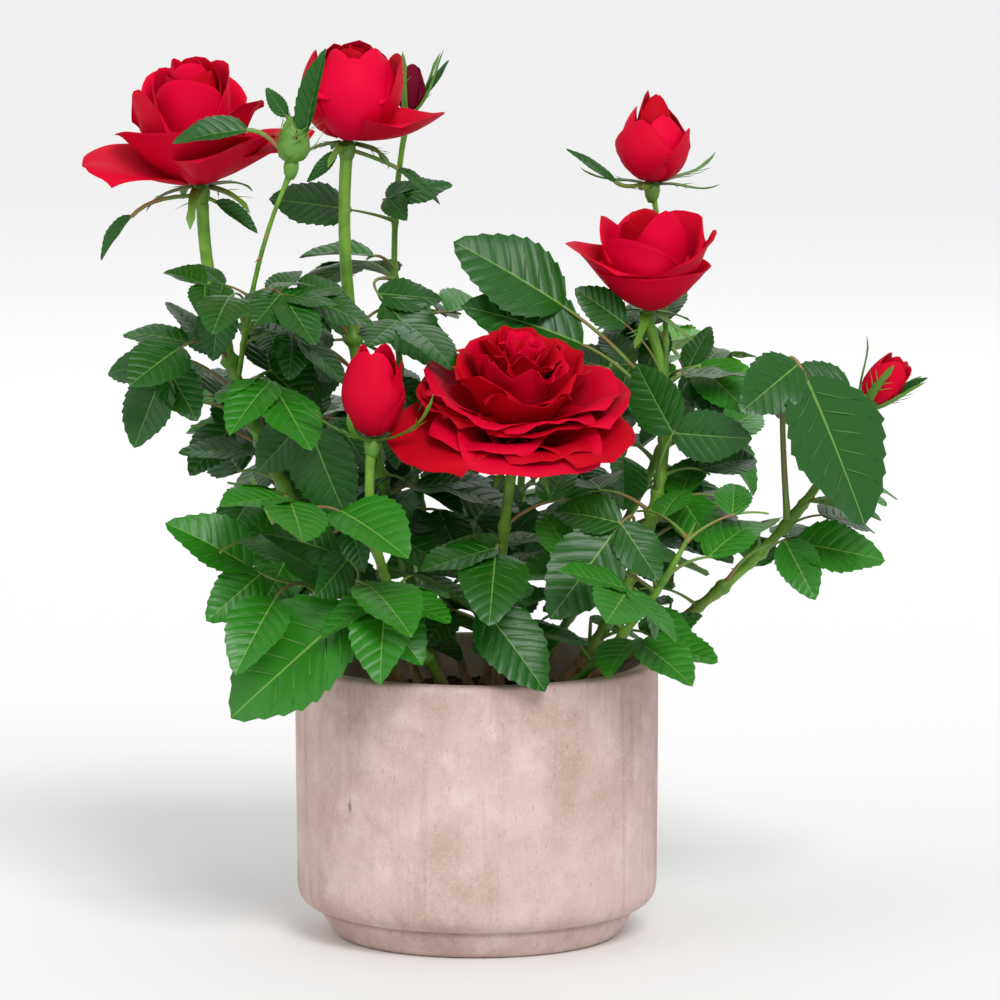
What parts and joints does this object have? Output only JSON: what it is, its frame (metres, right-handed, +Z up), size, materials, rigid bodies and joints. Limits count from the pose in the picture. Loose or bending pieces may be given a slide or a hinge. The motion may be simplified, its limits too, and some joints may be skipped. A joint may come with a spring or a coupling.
{
  "type": "potted miniature rose bush",
  "caption": "Miniature rose bush in a round stoneware pot: thorny canes, compound leaves, open red blooms and buds.",
  "frame": {"origin": "centre of the pot's flat underside", "axes": "+Z up, -Y towards the front of the plant as first seen, +X to the right of that view"},
  "size_m": [0.3081, 0.2295, 0.3297],
  "materials": {
    "pot": "matte",
    "soil": "matte",
    "moss": "matte",
    "cane": "satin",
    "leaf": "satin",
    "petal": "satin",
    "green_bud": "satin"
  },
  "bodies": {
    "root": {"cane_back_left": "cane", "cane_back_mid": "cane", "cane_back_right": "cane", "cane_back_slim": "cane", "cane_centre": "cane", "cane_far_right": "cane", "cane_front_bud": "cane", "cane_left_tall": "cane", "cane_low_left": "cane", "cane_low_right": "cane", "cane_mid_tall": "cane", "cane_right_tall": "cane", "flower_back_left": "green_bud", "flower_back_mid": "petal", "flower_back_slim": "petal", "flower_centre": "petal", "flower_far_right": "petal", "flower_front_bud": "petal", "flower_green_bud": "green_bud", "flower_left_tall": "petal", "flower_mid_tall": "petal", "flower_right_tall": "petal", "flower_upper_right": "petal", "foliage_back_left": "leaf", "foliage_back_mid": "leaf", "foliage_back_right": "leaf", "foliage_back_slim": "leaf", "foliage_centre": "leaf", "foliage_far_right": "leaf", "foliage_front_bud": "leaf", "foliage_left_tall": "leaf", "foliage_low_left": "leaf", "foliage_low_right": "leaf", "foliage_mid_tall": "leaf", "foliage_right_tall": "leaf", "moss": "moss", "pot": "pot", "soil": "soil"}
  },
  "joints": []
}
